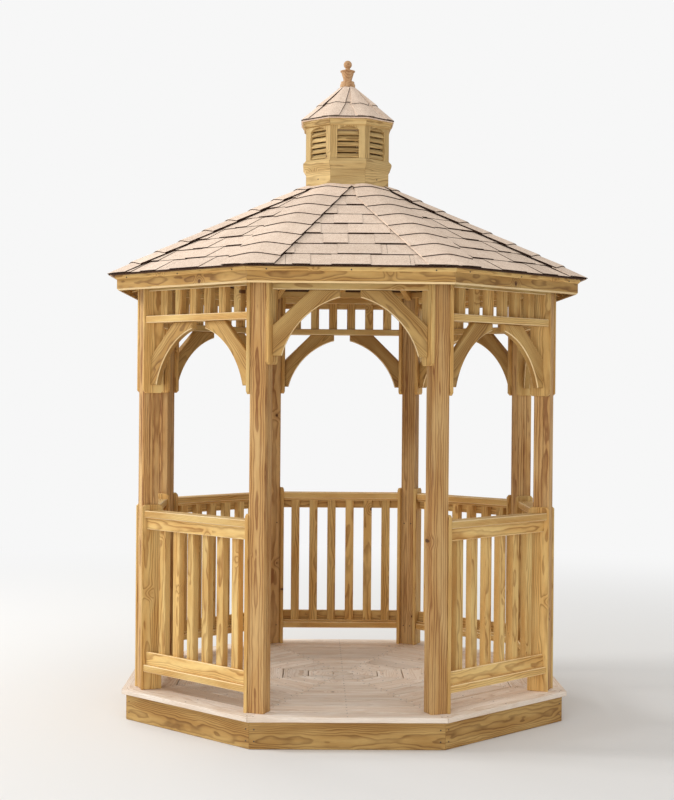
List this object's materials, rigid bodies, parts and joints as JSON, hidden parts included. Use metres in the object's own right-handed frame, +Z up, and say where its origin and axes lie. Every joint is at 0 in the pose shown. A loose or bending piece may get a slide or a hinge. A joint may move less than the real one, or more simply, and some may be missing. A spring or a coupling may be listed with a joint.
{
  "type": "garden gazebo",
  "caption": "Octagonal timber garden gazebo with a boarded floor, railed bays, arched braces, a shingled roof and a louvred cupola.",
  "frame": {"origin": "on the ground, under the middle of the floor", "axes": "+Z up, the open entrance bay faces -Y, +X to the right of someone who looks in through the entrance"},
  "size_m": [2.6178, 2.6178, 3.7157],
  "materials": {
    "timber": "bare treated pine",
    "deck_timber": "bare treated pine boards",
    "shingles": "mineral granules"
  },
  "bodies": {
    "root": {"braces_back": "timber", "braces_back_left": "timber", "braces_back_right": "timber", "braces_front": "timber", "braces_front_left": "timber", "braces_front_right": "timber", "braces_left": "timber", "braces_right": "timber", "cupola_crown": "timber", "cupola_curb": "timber", "cupola_finial": "timber", "cupola_louvers": "timber", "cupola_roof": "shingles", "cupola_sill": "timber", "cupola_walls": "timber", "deck_border": "deck_timber", "deck_floor": "deck_timber", "eave_strips": "timber", "fascia_boards": "timber", "floor_hub": "timber", "floor_joists": "timber", "front_header": "timber", "post_back_left": "timber", "post_back_right": "timber", "post_front_left": "timber", "post_front_right": "timber", "post_left_back": "timber", "post_left_front": "timber", "post_right_back": "timber", "post_right_front": "timber", "railing_back": "timber", "railing_back_left": "timber", "railing_back_right": "timber", "railing_front_left": "timber", "railing_front_right": "timber", "railing_left": "timber", "railing_right": "timber", "roof_boards": "timber", "roof_rafters": "timber", "roof_shingles": "shingles", "skirt_boards": "timber", "top_plates": "timber", "valance_back": "timber", "valance_back_left": "timber", "valance_back_right": "timber", "valance_front_left": "timber", "valance_front_right": "timber", "valance_left": "timber", "valance_right": "timber"}
  },
  "joints": []
}
